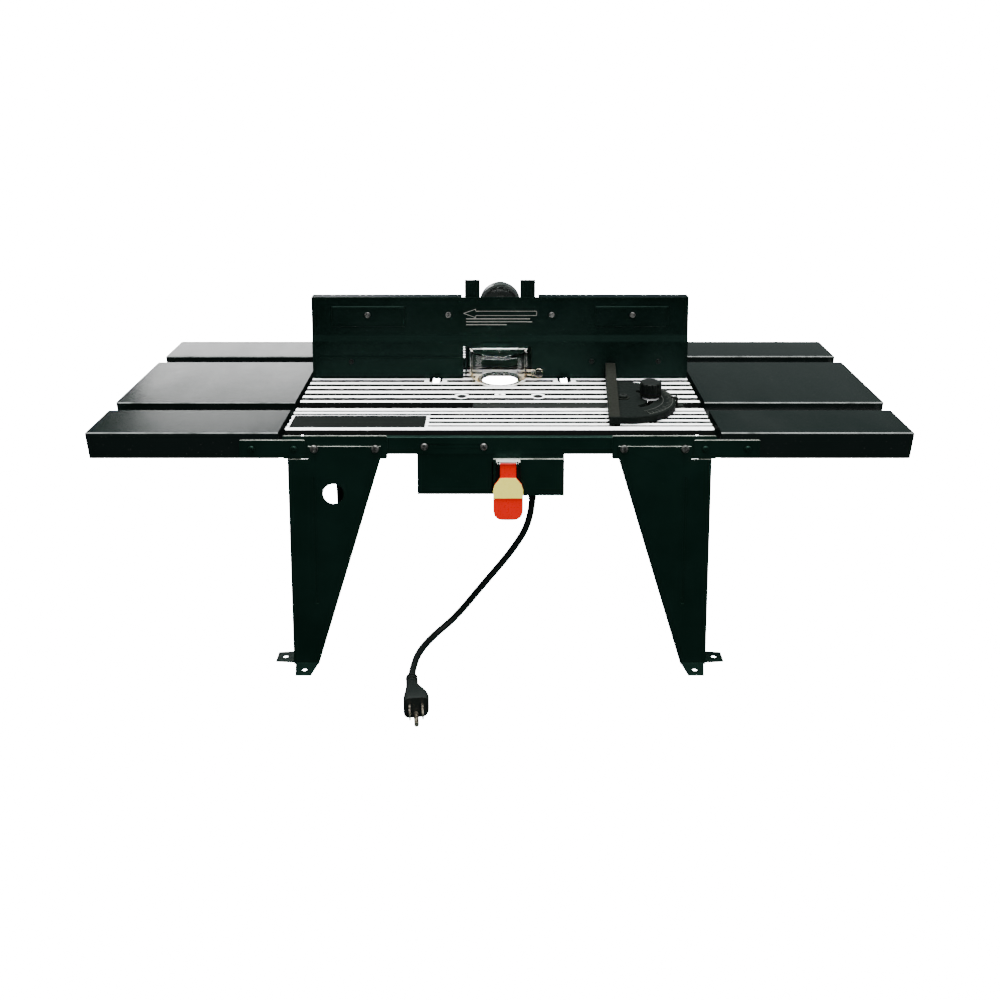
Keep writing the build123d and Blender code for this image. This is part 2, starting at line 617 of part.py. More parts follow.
def miter_head():
    """Protractor head: half-round plate with an arc slot, and an upright face bar."""
    z0 = TOP + 0.4
    disc = rod_z(0, 0, z0, TOP + HEAD_PLATE, HEAD_R) - block(-80, -7, -80, 80, TOP - 5, TOP + 20)
    disc = chamfer(disc.faces().sort_by(Axis.Z)[-1].edges().filter_by(GeomType.CIRCLE), 1.0)
    arc_slot = extrude(SlotArc(CenterArc((0, 0), ARC_R, -52, 104), 7.2), 40)
    disc -= Pos(0, 0, TOP - 10) * arc_slot
    side = [(-62, z0), (-62, TOP + HEAD_HIGH[0]), (90.5, TOP + HEAD_HIGH[1]), (90.5, z0)]
    face = plate_yz(side, -17.5, -5.5)
    face = fillet(face.faces().sort_by(Axis.Z)[-1].edges(), 1.2)
    head = disc + face
    for y in (-48.0, 76.0):
        head -= rod_x(y, TOP + 5, -30, -3, 2.2)
    head += rod_z(0, 0, z0, TOP + HEAD_PLATE + 1, 7.0) - block(-80, -5.4, -80, 80, TOP - 5, TOP + 40)
    head -= rod_z(0, 0, TOP - 10, TOP + 40, 3.0 + FIT)
    return Pos(HEAD_X, SLOT_Y, 0) * Rot(0, 0, -HEAD_TURN) * head


def miter_pivot_screw():
    z = TOP + HEAD_PLATE + 1 + FLOAT
    return Pos(HEAD_X, SLOT_Y, z) * pan_head(4.8, 2.8) + rod_z(HEAD_X, SLOT_Y, TOP - 8, z + 0.5, 3.0)


def miter_washer():
    z0 = TOP + HEAD_PLATE + FLOAT
    return ring_z(KNOB_X, SLOT_Y, z0, z0 + 1.4, 9.4, 3.3)


def miter_knob():
    """Fluted lock knob with its stud."""
    z0 = TOP + 11.0
    z1 = TOP + 27.6
    r = 11.9
    body = rod_z(KNOB_X, SLOT_Y, z0 + 1.2, z1, r)
    body = chamfer(body.faces().sort_by(Axis.Z)[-1].edges(), 1.2)
    for i in range(12):
        a = math.radians(30 * i)
        x = KNOB_X + (r + 0.6) * math.cos(a)
        y = SLOT_Y + (r + 0.6) * math.sin(a)
        body -= rod_z(x, y, z0, TOP + 40, 1.5)
    body += rod_z(KNOB_X, SLOT_Y, z0, z0 + 2, 7.0)
    return body + rod_z(KNOB_X, SLOT_Y, TOP - 7.5, z0 + 1, 3.0)


def miter_pointer():
    """Small bent pointer on the runner, reading the edge of the protractor."""
    x = HEAD_X + HEAD_R
    y = SLOT_Y
    foot = block(x + 1.5, x + 9, y - 4, y + 4, TOP - 0.5, TOP + 0.7)
    rise = block(x + 1.5, x + 2.7, y - 4, y + 4, TOP - 0.5, TOP + HEAD_PLATE + 1.6)
    z1 = TOP + HEAD_PLATE + 0.5
    tip = plate_xy([(x + 2.7, y - 4), (x + 2.7, y + 4), (x - 5, y)], z1, z1 + 1.1)
    return foot + rise + tip


# ---- switch -------------------------------------------------------------------------------
def switch_box():
    """Folded box below the front rail, open at the back, with a hanging flange."""
    x0, x1, y0, y1, z0, z1 = BOX
    t = SHEET
    body = block(*BOX) - block(x0 + t, x1 - t, y0 + t, y1 + 1, z0 + t, z1 - t)
    body += block(x0, x1, y0, y0 + t, z1 - 1, TOP - 8)
    body -= block(-8.2, 26.2, y0 - 1, y0 + 5, TOP - 66, TOP - 33)
    for x in BOX_SCREW_X:
        body -= rod_y(x, TOP - 15.6, y0 - 3, y0 + 5, 2.1)
    return body - rod_z(CORD_X, CORD_Y, z0 - 2, z0 + 4, 5.2)


def box_back():
    """Rear cover of the switch box around the outlet."""
    x0, x1, y0, y1, z0, z1 = BOX
    t = SHEET
    plate = block(x0 + t + 0.1, x1 - t - 0.1, y1 - t, y1, z0 + t + 0.1, z1 - t - 0.1)
    middle = (z0 + z1) / 2
    return plate - block(OUTLET_X - 33.5, OUTLET_X + 33.5, y1 - 5, y1 + 5, middle - 15, middle + 15)


def outlet():
    """Duplex outlet in the rear cover, for the router's own plug and a vacuum's."""
    y1 = BOX[3]
    z = (BOX[4] + BOX[5]) / 2
    body = block(OUTLET_X - 33.3, OUTLET_X + 33.3, y1 - 22, y1 + 1.6, z - 14.8, z + 14.8)
    body = fillet(body.edges().filter_by(Axis.Y), 4.0)
    for x in (OUTLET_X - 17, OUTLET_X + 17):
        for dx in (-6.35, 6.35):
            body -= block(x + dx - 0.9, x + dx + 0.9, y1 - 16, y1 + 5, z - 1, z + 7)
        body -= rod_y(x, z - 7.0, y1 - 16, y1 + 5, 2.6)
    return body


def switch_cover():
    """Raised front cover on the right half of the box, with a lipped lug for the paddle's pin."""
    plate = block(-6.7, BOX[1], FRONT - 0.6, BOX[2], BOX[4], TOP - 28.8)
    plate -= block(-6.7 + 1.2, BOX[1] - 1.2, FRONT + 0.6, BOX[2] + 1, BOX[4] + 1.2, TOP - 30.0)
    plate -= block(-4.2, 22.2, FRONT - 5, FRONT + 5, TOP - 66, TOP - 36)
    y, z = PADDLE_PIN
    lip = [(PADDLE_X - 12.5, TOP - 28.8), (PADDLE_X - 10.5, z + 2.9), (PADDLE_X + 10.5, z + 2.9),
           (PADDLE_X + 12.5, TOP - 28.8)]
    lug = plate_xz(lip, y - 3.2, FRONT - 0.6 + 1)
    for x in (PADDLE_X - 10.5, PADDLE_X + 9.3):
        lug += block(x, x + 1.2, y - 3.2, FRONT, z - 3.2, z + 3.5)
    return plate + lug - rod_x(y, z, PADDLE_X - 12, PADDLE_X + 12, 1.2)


def paddle_pin():
    y, z = PADDLE_PIN
    return rod_x(y, z, PADDLE_X - 11.0, PADDLE_X + 11.0, 1.2)


def paddle_outline():
    """Front outline of the paddle: neck, shoulders, round end."""
    x = PADDLE_X
    with BuildLine() as line:
        Polyline((x - 8.3, TOP - 33.5), (x - 8.3, TOP - 47), (x - 14.0, TOP - 54.5), (x - 15.6, TOP - 60))
        Line((x - 15.6, TOP - 60), (x - 15.6, TOP - 80))
        Spline((x - 15.6, TOP - 80), (x, TOP - 93.2), (x + 15.6, TOP - 80),
               tangents=[(0, -1), (0, 1)])
        Line((x + 15.6, TOP - 80), (x + 15.6, TOP - 60))
        Polyline((x + 15.6, TOP - 60), (x + 14.0, TOP - 54.5), (x + 8.3, TOP - 47), (x + 8.3, TOP - 33.5))
        Line((x + 8.3, TOP - 33.5), (x - 8.3, TOP - 33.5))
    return make_face(line.line)


def paddle():
    """Red stop paddle with its hinge barrel."""
    y, z = PADDLE_PIN
    body = extrude(Plane.XZ.offset(-(y + 2.0)) * paddle_outline(), 3.2)
    x = PADDLE_X
    barrel = rod_x(y, z, x - 8.3, x + 8.3, 2.4)
    web = block(x - 8.3, x + 8.3, y - 1.2, y + 2.0, TOP - 34, z)
    return body + web + barrel - rod_x(y, z, x - 9, x + 9, 1.2 + FIT)


def paddle_plate():
    """Cream front plate on the upper half of the paddle."""
    y = PADDLE_PIN[0] - 1.2
    face = extrude(Plane.XZ.offset(-y) * paddle_outline(), 0.8)
    return face & block(-40, 60, y - 5, y + 5, TOP - 68.7, TOP - 46.8)


def switch_body():
    """Switch unit in the box, with a collar round its button."""
    y0 = FRONT + 0.8
    body = block(-4.0, 22.0, y0, FRONT + 36, TOP - 65.8, TOP - 36.2)
    body -= block(1.6, 16.1, y0 - 1, y0 + 9, TOP - 57.8, TOP - 43.8)
    return fillet(body.edges().filter_by(Axis.Y).group_by(Axis.X)[0], 1.5)


def start_button():
    body = block(1.9, 15.8, FRONT - 0.9, FRONT + 7, TOP - 57.5, TOP - 44.1)
    return fillet(body.faces().sort_by(Axis.Y)[0].edges(), 1.0)


def box_screws():
    return [Pos(x, FRONT + 1.2, TOP - 15.6) * Rot(90, 0, 0) * machine_screw(3.8, 2.2, 2.0, 6.0)
            for x in BOX_SCREW_X]


# ---- cord ---------------------------------------------------------------------------------
def strain_relief():
    """Tapered sleeve from the box floor to the free cord, with a flange inside the box."""
    z0 = BOX[4] - RELIEF_LONG
    cone = Pos(CORD_X, CORD_Y, z0 + RELIEF_LONG / 2) * Cone(CORD_D / 2 + 0.5, 5.6, RELIEF_LONG)
    stem = rod_z(CORD_X, CORD_Y, BOX[4], BOX[4] + SHEET, 5.2)
    return cone + stem + rod_z(CORD_X, CORD_Y, BOX[4] + SHEET, BOX[4] + SHEET + 3, 7.5)


def corner_radii(points):
    """Largest arc at each corner that takes 0.45 of the shorter run beside it."""
    radii = []
    for before, here, after in zip(points, points[1:], points[2:]):
        first = Vector(*here) - Vector(*before)
        second = Vector(*after) - Vector(*here)
        half_turn = math.radians(first.get_angle(second)) / 2
        radii.append(0.45 * min(first.length, second.length) / math.tan(half_turn))
    return radii


def cord():
    """Free cord along straight runs joined by tangent arcs."""
    radii = corner_radii(CORD_ROUTE)
    path = FilletPolyline(*CORD_ROUTE, radius=radii)
    start = Plane(origin=path @ 0, z_dir=path % 0)
    tube = sweep(start * Circle(CORD_D / 2), path=path)
    print("cord radii", [round(r) for r in radii], "length", round(path.length, 1))
    print("cord volume", round(tube.volume), "of", round(math.pi * CORD_D ** 2 / 4 * path.length))
    return tube


def plug_place(shape):
    """Plug frame: X 0 at the cord's end and +X towards the blades."""
    end = CORD_ROUTE[-1]
    return Pos(*end) * Rot(0, 0, -83.0) * shape


def plug():
    """Moulded three-blade plug: ribbed collar, grip that widens on one side and flat nose."""
    collar = rod_x(0, 0, 0, 16, 5.2)
    for x in (2.5, 7.0, 11.5):
        collar += rod_x(0, 0, x - 1.1, x + 1.1, 6.2)
    sections = [(13, 0.0, 12.5, 12), (24, 1.0, 16, 16), (35, 2.6, 22.5, 20), (44, 3.0, 25.5, 21.5),
                (50, 2.4, 23.5, 21)]
    faces = [Plane(origin=(x, y, 0), x_dir=(0, 1, 0), z_dir=(1, 0, 0)) * RectangleRounded(w, h, 5)
             for x, y, w, h in sections]
    return plug_place(collar + loft(faces))


def plug_blades():
    """Two flat blades and the round ground pin."""
    flats = [plug_place(block(50, 66, 2.4 + dy - 0.8, 2.4 + dy + 0.8, -2.0, 4.4)) for dy in (-6.35, 6.35)]
    pin = plug_place(Pos(0, 2.4, 0) * rod_x(0, -6.4, 50, 67, 2.4))
    return flats + [pin]


# ---- write every piece --------------------------------------------------------------------
def main():
    os.makedirs("parts", exist_ok=True)
    save("table_top", table_top())
    save("insert_ring", insert_ring())
    save("label_plate", label_plate())
    save("front_apron", front_apron())
    save("rear_apron", rear_apron())
    save("right_apron", right_apron())
    save("left_apron", left_of(right_apron()))
    corners = ("front_right", "front_left", "rear_right", "rear_left")
    for name, shape in zip(corners, four_corners(corner_panel())):
        save(f"{name}_panel", shape)
    for name, shape in zip(corners, four_corners(wing_bar())):
        save(f"{name}_wing_bar", shape)
    plain_leg = leg(eyed=False)
    eyed_leg = leg(eyed=True)
    save("front_right_leg", plain_leg)
    save("front_left_leg", left_of(eyed_leg))
    save("rear_right_leg", back_of(eyed_leg))
    save("rear_left_leg", back_of(left_of(plain_leg)))
    save_group("leg_screws", leg_screws())
    save_group("leg_nuts", leg_nuts())
    save("right_wing", right_wing())
    save("left_wing", left_of(right_wing()))
    save_group("wing_screws", wing_screws())
    save_group("top_screws", top_screws())
    save("fence_body", fence_body())
    save("outfeed_strip", outfeed_strip())
    save("fence_base", fence_base())
    save("right_gusset", right_gusset())
    save("left_gusset", left_of(right_gusset()))
    save_group("fence_screws", fence_screws())
    for name, x in (("left", -CLAMP_X), ("right", CLAMP_X)):
        save(f"{name}_clamp_knob", clamp_knob(x))
    save_group("clamp_bolts", [clamp_bolt(x) for x in (-CLAMP_X, CLAMP_X)])
    save_group("clamp_washers", clamp_washers())
    save("dust_chute", dust_chute())
    save("dust_port", dust_port())
    save("bit_guard", bit_guard())
    save("guard_screw", guard_screw())
    save_group("fence_nuts", fence_nuts())
    save("miter_bar", miter_bar())
    save("miter_head", miter_head())
    save("miter_pivot_screw", miter_pivot_screw())
    save("miter_washer", miter_washer())
    save("miter_knob", miter_knob())
    save("miter_pointer", miter_pointer())
    save("switch_box", switch_box())
    save("box_back", box_back())
    save("outlet", outlet())
    save("switch_cover", switch_cover())
    save("switch_body", switch_body())
    save("start_button", start_button())
    save("paddle_pin", paddle_pin())
    save("paddle", paddle())
    save("paddle_plate", paddle_plate())
    save_group("box_screws", box_screws())
    save("strain_relief", strain_relief())
    save("cord", cord())
    save("plug", plug())
    save_group("plug_blades", plug_blades())


main()
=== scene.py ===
"""Looks of a bench-top router table: materials, cord, fence marks, gauge scale, floor, light and camera.

Metres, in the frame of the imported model: +X along the table, +Y towards its back, +Z up, floor at Z 0.
"""
import json
import math

import bmesh
import bpy
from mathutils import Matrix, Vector


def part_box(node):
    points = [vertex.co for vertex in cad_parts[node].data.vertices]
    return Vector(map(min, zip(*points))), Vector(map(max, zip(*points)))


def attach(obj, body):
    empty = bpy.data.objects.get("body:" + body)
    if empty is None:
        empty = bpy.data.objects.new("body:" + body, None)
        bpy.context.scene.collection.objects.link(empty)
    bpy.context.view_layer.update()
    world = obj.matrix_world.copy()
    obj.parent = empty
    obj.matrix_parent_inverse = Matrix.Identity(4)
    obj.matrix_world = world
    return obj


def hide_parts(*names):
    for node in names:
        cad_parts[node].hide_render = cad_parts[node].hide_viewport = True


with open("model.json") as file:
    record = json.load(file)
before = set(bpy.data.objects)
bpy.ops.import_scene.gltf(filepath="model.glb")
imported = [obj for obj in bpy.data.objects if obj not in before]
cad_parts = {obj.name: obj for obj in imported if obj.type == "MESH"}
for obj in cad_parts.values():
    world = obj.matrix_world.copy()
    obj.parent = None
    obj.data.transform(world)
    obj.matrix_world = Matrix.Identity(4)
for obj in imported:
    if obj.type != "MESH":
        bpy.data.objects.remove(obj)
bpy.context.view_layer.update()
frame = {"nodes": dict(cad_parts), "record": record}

# ---- camera -------------------------------------------------------------------------------
CAMERA_PLACE = (0.0031, -1.1925, 0.663)
CAMERA_TILT = 8.68                      # degrees below level
CAMERA_LENS = 37.32
CAMERA_SHIFT = (-0.0026, -0.3016)

# ---- heights and faces taken from the frame -----------------------------------------------
TABLE_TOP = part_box("right_wing")[1][2]
FENCE_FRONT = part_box("fence_body")[0][1]
FENCE_STEP = 0.0015                     # the fence's upper face stands this far behind its lower one
RAIL_EDGES = (TABLE_TOP - 0.035, TABLE_TOP - 0.002)     # height range of the painted highlights on upward edges below the top
LEDGE_EDGES = (TABLE_TOP + 0.04, TABLE_TOP + 0.06)      # height range of the painted highlight on the fence's ledge
PAINTED_SCREWS = (TABLE_TOP + 0.005, TABLE_TOP + 0.045)     # screws on the fence's lower sheets

# ---- machined lands of the top ------------------------------------------------------------
# Each row is mirrored front to back: distance of one land's centre line from the middle of the
# table, pitch, half width, and the nearest and farthest distance that the row covers.
LAND_ROWS = [
    (0.00784, 0.01568, 0.0046, 0.0, 0.0627),
    (0.1067, 0.0114, 0.0035, 0.1010, 0.1466),
]
LAND_EDGE_SHADE = 0.0008                       # painted shade this wide along a land's long edges, which also makes the grooves look wider than modelled
LAND_MARGIN = 0.0001

# ---- softened edges -----------------------------------------------------------------------
EDGE_WIDTHS = {
    "fence_body": 0.0004, "outfeed_strip": 0.0002, "miter_head": 0.0004, "dust_chute": 0.0003,
    "switch_box": 0.0004, "switch_cover": 0.0003,
}
FOLDED_SHEETS = ("_leg", "_apron", "_panel", "_wing_bar", "_gusset")
FOLDED_EDGE = 0.0003
EDGE_ANGLE = math.radians(35)
WELD_GAP = 0.00001

# ---- cord ---------------------------------------------------------------------------------
# The part's own cord route, repeated here: out of the box, down, and forward over the floor.
CORD_DIAMETER = 0.0074
CORD_POINTS = [
    (0.0355, -0.1211, 0.1672),
    (0.0340, -0.1201, 0.1410),
    (0.0140, -0.1176, 0.1050),
    (-0.0190, -0.1131, 0.0620),
    (-0.0500, -0.1071, 0.0190),
    (-0.0730, -0.1186, 0.0052),
    (-0.0885, -0.1511, 0.0045),
    (-0.0923, -0.1856, 0.0054),
    (-0.0910, -0.2071, 0.0114),
]

# ---- marks on the fence -------------------------------------------------------------------
MARK_THICK = 0.00015
MARK_LINE = 0.0006                      # stroke of the arrow's outline
ARROW_TOP = TABLE_TOP + 0.0835          # upper and lower line of the shaft
ARROW_LOW = TABLE_TOP + 0.0775
ARROW_TIP = -0.0435
ARROW_NECK = -0.0290
ARROW_END = 0.0440
ARROW_FLARE = 0.0022                    # the head stands this far out from the shaft
ARROW_BARB = 0.0024
RULE_START = -0.0405
RULE_ENDS = (0.0360, 0.0385, 0.0080)
RULE_HIGH = 0.0010
RULE_PITCH = 0.0036
RULE_DROP = 0.0042                      # first rule below the shaft

# ---- scale of the mitre gauge -------------------------------------------------------------
PIVOT_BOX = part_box("miter_pivot_screw")
PIVOT = ((PIVOT_BOX[0][0] + PIVOT_BOX[1][0]) / 2, (PIVOT_BOX[0][1] + PIVOT_BOX[1][1]) / 2)
HEAD_TURN = math.radians(-4.0)          # set angle of the head
HEAD_FACE = TABLE_TOP + 0.0085
SCALE_HIGH = 0.00025
ARC_RADII = (0.0440, 0.0545)
ARC_WIDE = 0.0006
ARC_REACH = math.radians(62)            # to either side of the middle
ARC_STEPS = 48
TICKS_EACH_SIDE = 12
TICK_STEP = 5                           # degrees
TICK_OUTER = 0.0545
TICK_INNER = 0.0505
LONG_TICK_INNER = 0.0478                # every third one
TICK_HALF_ANGLE = 0.0056

# ---- studio -------------------------------------------------------------------------------
FLOOR_RADIUS = 7.0
FLOOR_BEND = 2.0                        # radius of the curve between floor and wall
BEND_STEPS = 10
WALL_TOP = 7.0
WALL_STEPS = 72
TABLE_MIDDLE = (0, 0, 0.2)
SOFT_BOXES = [                          # name, place, aim, size, watts
    ("overhead", (0, 0.1, 3.2), TABLE_MIDDLE, (3.0, 2.6), 620),
    ("back_left", (-0.80, 2.2, 0.78), (-0.3, 0, 0.26), (0.8, 0.5), 6.5),
    ("back_right", (1.0, 2.3, 0.72), (0.3, 0, 0.26), (1.2, 0.5), 0.45),
    ("front_fill", (0.5, -3.2, 2.2), TABLE_MIDDLE, (2.2, 1.4), 170),
]
WORLD_COLOUR = (0.62, 0.90, 0.84, 1)
WORLD_STRENGTH = 0.10


def add_camera():
    """Low view from the front, tilted down a little; the shift keeps the object's place in the frame."""
    data = bpy.data.cameras.new("camera")
    data.sensor_width = 36.0
    data.lens = CAMERA_LENS
    data.shift_x, data.shift_y = CAMERA_SHIFT
    data.clip_end = 60.0
    camera = bpy.data.objects.new("camera", data)
    camera.location = CAMERA_PLACE
    camera.rotation_euler = (math.radians(90 - CAMERA_TILT), 0, 0)
    bpy.context.collection.objects.link(camera)
    bpy.context.scene.camera = camera


# ---- helpers ------------------------------------------------------------------------------
class Shader:
    """A Principled material and short ways to add procedural nodes to it."""

    def __init__(self, name, **settings):
        self.material = bpy.data.materials.new(name)
        self.material.use_nodes = True
        self.tree = self.material.node_tree
        self.tree.nodes.clear()
        self.out = self.add("OutputMaterial")
        self.bsdf = self.add("BsdfPrincipled")
        self.link(self.bsdf.outputs[0], self.out.inputs["Surface"])
        self.object = self.add("TexCoord").outputs["Object"]
        for key, value in settings.items():
            self.bsdf.inputs[key.replace("_", " ")].default_value = value

    def add(self, kind, **properties):
        node = self.tree.nodes.new("ShaderNode" + kind)
        for key, value in properties.items():
            setattr(node, key, value)
        return node

    def link(self, source, target):
        self.tree.links.new(source, target)

    def stretched(self, scale):
        """Object coordinates scaled along each axis."""
        node = self.add("Mapping")
        node.inputs["Scale"].default_value = scale
        self.link(self.object, node.inputs["Vector"])
        return node.outputs["Vector"]

    def noise(self, scale, detail=3.0, rough=0.55, along=None, distortion=0.0):
        node = self.add("TexNoise")
        node.inputs["Scale"].default_value = scale
        node.inputs["Detail"].default_value = detail
        node.inputs["Roughness"].default_value = rough
        node.inputs["Distortion"].default_value = distortion
        self.link(along or self.object, node.inputs["Vector"])
        return node.outputs["Fac"]

    def remap(self, value, low, high, to_low, to_high, smooth=False):
        """The range low..high mapped to to_low..to_high, clamped."""
        kind = "SMOOTHSTEP" if smooth else "LINEAR"
        node = self.add("MapRange", interpolation_type=kind)
        for name, number in zip(("From Min", "From Max", "To Min", "To Max"), (low, high, to_low, to_high)):
            node.inputs[name].default_value = number
        self.link(value, node.inputs["Value"])
        return node.outputs["Result"]

    def math(self, operation, a, b=None):
        """Math node; a and b are sockets or plain numbers."""
        node = self.add("Math", operation=operation)
        for i, value in enumerate((a, b)):
            if value is None:
                continue
            if isinstance(value, (int, float)):
                node.inputs[i].default_value = value
            else:
                self.link(value, node.inputs[i])
        return node.outputs[0]

    def times(self, a, b):
        return self.math("MULTIPLY", a, b)

    def mix(self, factor, a, b):
        """Blend of two colours or two sockets."""
        node = self.add("Mix", data_type="RGBA")
        self.link(factor, node.inputs["Factor"])
        for socket, value in ((node.inputs[6], a), (node.inputs[7], b)):
            if isinstance(value, tuple):
                socket.default_value = (*value, 1.0)
            else:
                self.link(value, socket)
        return node.outputs[2]

    def axis(self, name):
        """One coordinate of the object's own space."""
        node = self.add("SeparateXYZ")
        self.link(self.object, node.inputs[0])
        return node.outputs[name]

    def normal_z(self):
        """How far the surface looks up: 1 on top, 0 on an upright face."""
        node = self.add("SeparateXYZ")
        self.link(self.add("NewGeometry").outputs["Normal"], node.inputs[0])
        return node.outputs["Z"]

    def between(self, low, high, soft):
        """1 where the height is between low and high, with soft steps at both ends."""
        height = self.axis("Z")
        above = self.remap(height, low, low + soft, 0.0, 1.0)
        below = self.remap(height, high, high + soft, 1.0, 0.0)
        return self.times(above, below)

    def colour(self, socket):
        self.link(socket, self.bsdf.inputs["Base Color"])

    def roughness(self, socket):
        self.link(socket, self.bsdf.inputs["Roughness"])

    def bump(self, height, strength, distance):
        """Adds a bump on top of any earlier one."""
        node = self.add("Bump")
        node.inputs["Strength"].default_value = strength
        node.inputs["Distance"].default_value = distance
        previous = self.bsdf.inputs["Normal"].links
        if previous:
            self.link(previous[0].from_socket, node.inputs["Normal"])
        self.link(height, node.inputs["Height"])
        self.link(node.outputs["Normal"], self.bsdf.inputs["Normal"])


def add_mesh(name, bm, material):
    """Object in the scene made from a finished bmesh."""
    mesh = bpy.data.meshes.new(name)
    bm.to_mesh(mesh)
    bm.free()
    mesh.materials.append(material)
    piece = bpy.data.objects.new(name, mesh)
    bpy.context.collection.objects.link(piece)
    return piece


# ---- materials ----------------------------------------------------------------------------
def steel_paint(name="steel_paint", edges=None, depth=1.0, shine=0.2):
    """Satin black enamel on pressed steel: fine orange peel, dust specks, faint green-blue cast.

    edges is a height range in metres within which upward-facing sheet edges get a pale painted highlight.
    depth scales the pigment and shine the clear film; a depth below 1 gives a darker copy, painted shade
    for the pieces that stand in full light.
    """
    s = Shader(name, Specular_IOR_Level=shine, Specular_Tint=(0.45, 1.0, 0.82, 1.0))
    cloud = s.noise(9.0, 4.0)
    speck = s.remap(s.noise(900.0, 2.0), 0.70, 0.76, 0.0, 1.0)
    dark = tuple(depth * c for c in (0.0006, 0.0030, 0.0020))
    light = tuple(depth * c for c in (0.0013, 0.0050, 0.0034))
    base = s.mix(cloud, dark, light)
    paint = s.mix(s.times(speck, 0.25), base, (0.05, 0.07, 0.06))
    rough = s.remap(s.noise(26.0, 5.0), 0.3, 0.7, 0.36, 0.52)
    if edges:
        # painted highlight: upward-facing edges within the height range turn pale, broken up by noise
        up = s.remap(s.normal_z(), 0.55, 0.85, 0.0, 1.0)
        highlight_breakup = s.remap(s.noise(70.0, 4.0), 0.3, 0.6, 0.35, 1.0)
        mask = s.times(s.times(up, highlight_breakup), s.between(*edges, 0.0005))
        paint = s.mix(mask, paint, (0.34, 0.36, 0.32))
    s.colour(paint)
    s.roughness(rough)
    s.bump(s.noise(1500.0, 2.0), 0.10, 0.0002)
    s.bump(s.noise(160.0, 2.0), 0.06, 0.0006)
    return s.material


def wing_paint():
    """Smoother semi-gloss enamel of the wings, dusty; the rolled rims are rougher, shine less and carry a
    pale grey painted highlight.
    """
    s = Shader("wing_paint", Specular_IOR_Level=0.5)
    cloud = s.noise(6.0, 4.0)
    speck = s.remap(s.noise(700.0, 2.0), 0.71, 0.77, 0.0, 1.0)
    base = s.mix(cloud, (0.0006, 0.0018, 0.0015), (0.0012, 0.0028, 0.0023))
    base = s.mix(s.times(speck, 0.4), base, (0.09, 0.09, 0.085))
    tilt = s.normal_z()
    # painted highlight: the rolled rims near the top turn pale grey, broken up by noise
    rim = s.times(s.remap(tilt, 0.10, 0.30, 0.0, 1.0), s.remap(tilt, 0.90, 0.985, 1.0, 0.0))
    high = s.remap(s.axis("Z"), TABLE_TOP - 0.0018, TABLE_TOP - 0.0012, 0.0, 1.0)
    rolled = s.times(rim, high)
    highlight_breakup = s.remap(s.noise(55.0, 4.0), 0.3, 0.55, 0.35, 1.0)
    s.colour(s.mix(s.times(rolled, highlight_breakup), base, (0.13, 0.14, 0.135)))
    rub = s.noise(14.0, 5.0, along=s.stretched((1.0, 0.35, 1.0)))
    gloss = s.remap(rub, 0.3, 0.7, 0.17, 0.27)
    s.roughness(s.math("ADD", gloss, s.times(rolled, 0.5)))
    s.link(s.remap(rolled, 0.0, 1.0, 0.5, 0.05), s.bsdf.inputs["Specular IOR Level"])
    s.bump(s.noise(1300.0, 2.0), 0.08, 0.0002)
    s.bump(s.noise(45.0, 2.0), 0.04, 0.001)
    return s.material


def land_edges(s, first, pitch, half, inner, outer):
    """0 on the painted shade along the two long edges of every land in a row, 1 elsewhere."""
    away = s.math("ABSOLUTE", s.axis("Y"))
    turn = s.math("ADD", s.math("DIVIDE", s.math("SUBTRACT", away, first), pitch), 0.5)
    off = s.times(s.math("ABSOLUTE", s.math("SUBTRACT", s.math("FRACT", turn), 0.5)), pitch)
    past_shade_start = s.math("GREATER_THAN", off, half - LAND_EDGE_SHADE)
    edge_shade = s.times(past_shade_start, s.math("LESS_THAN", off, half + LAND_MARGIN))
    row = s.times(s.math("GREATER_THAN", away, inner), s.math("LESS_THAN", away, outer))
    return s.math("SUBTRACT", 1.0, s.times(edge_shade, row))


def cast_top():
    """Machined aluminium lands over black-painted grooves and sides, with painted shade along the lands'
    long edges.
    """
    s = Shader("cast_top", Specular_IOR_Level=0.12)
    up = s.remap(s.normal_z(), 0.7, 0.9, 0.0, 1.0)
    land = s.times(up, s.remap(s.axis("Z"), TABLE_TOP - 0.0006, TABLE_TOP - 0.0003, 0.0, 1.0))
    # painted shade: a dark band along each land's long edges
    for row in LAND_ROWS:
        land = s.times(land, land_edges(s, *row))
    streak = s.noise(60.0, 4.0, along=s.stretched((0.5, 14.0, 1.0)))
    bright = s.mix(streak, (0.90, 0.90, 0.90), (0.99, 0.99, 0.99))
    paint = s.mix(s.noise(40.0, 3.0), (0.0004, 0.0010, 0.0008), (0.0012, 0.0024, 0.0018))
    s.colour(s.mix(land, paint, bright))
    s.link(s.times(land, 0.08), s.bsdf.inputs["Metallic"])
    land_rough = s.remap(streak, 0.3, 0.7, 0.26, 0.42)
    paint_rough = s.remap(s.noise(120.0, 3.0), 0.3, 0.7, 0.75, 0.9)
    picked = s.add("Mix", data_type="FLOAT")
    s.link(land, picked.inputs["Factor"])
    s.link(paint_rough, picked.inputs[2])
    s.link(land_rough, picked.inputs[3])
    s.roughness(picked.outputs[0])
    s.bump(streak, 0.12, 0.0002)
    s.bump(s.noise(700.0, 2.0), 0.10, 0.0002)
    return s.material


def turned_aluminium():
    """Bright lathe-turned ring."""
    s = Shader("turned_aluminium", Metallic=1.0)
    grain = s.noise(500.0, 3.0)
    s.colour(s.mix(grain, (0.62, 0.62, 0.63), (0.88, 0.88, 0.88)))
    s.roughness(s.remap(grain, 0.3, 0.7, 0.2, 0.36))
    s.bump(grain, 0.08, 0.0001)
    return s.material


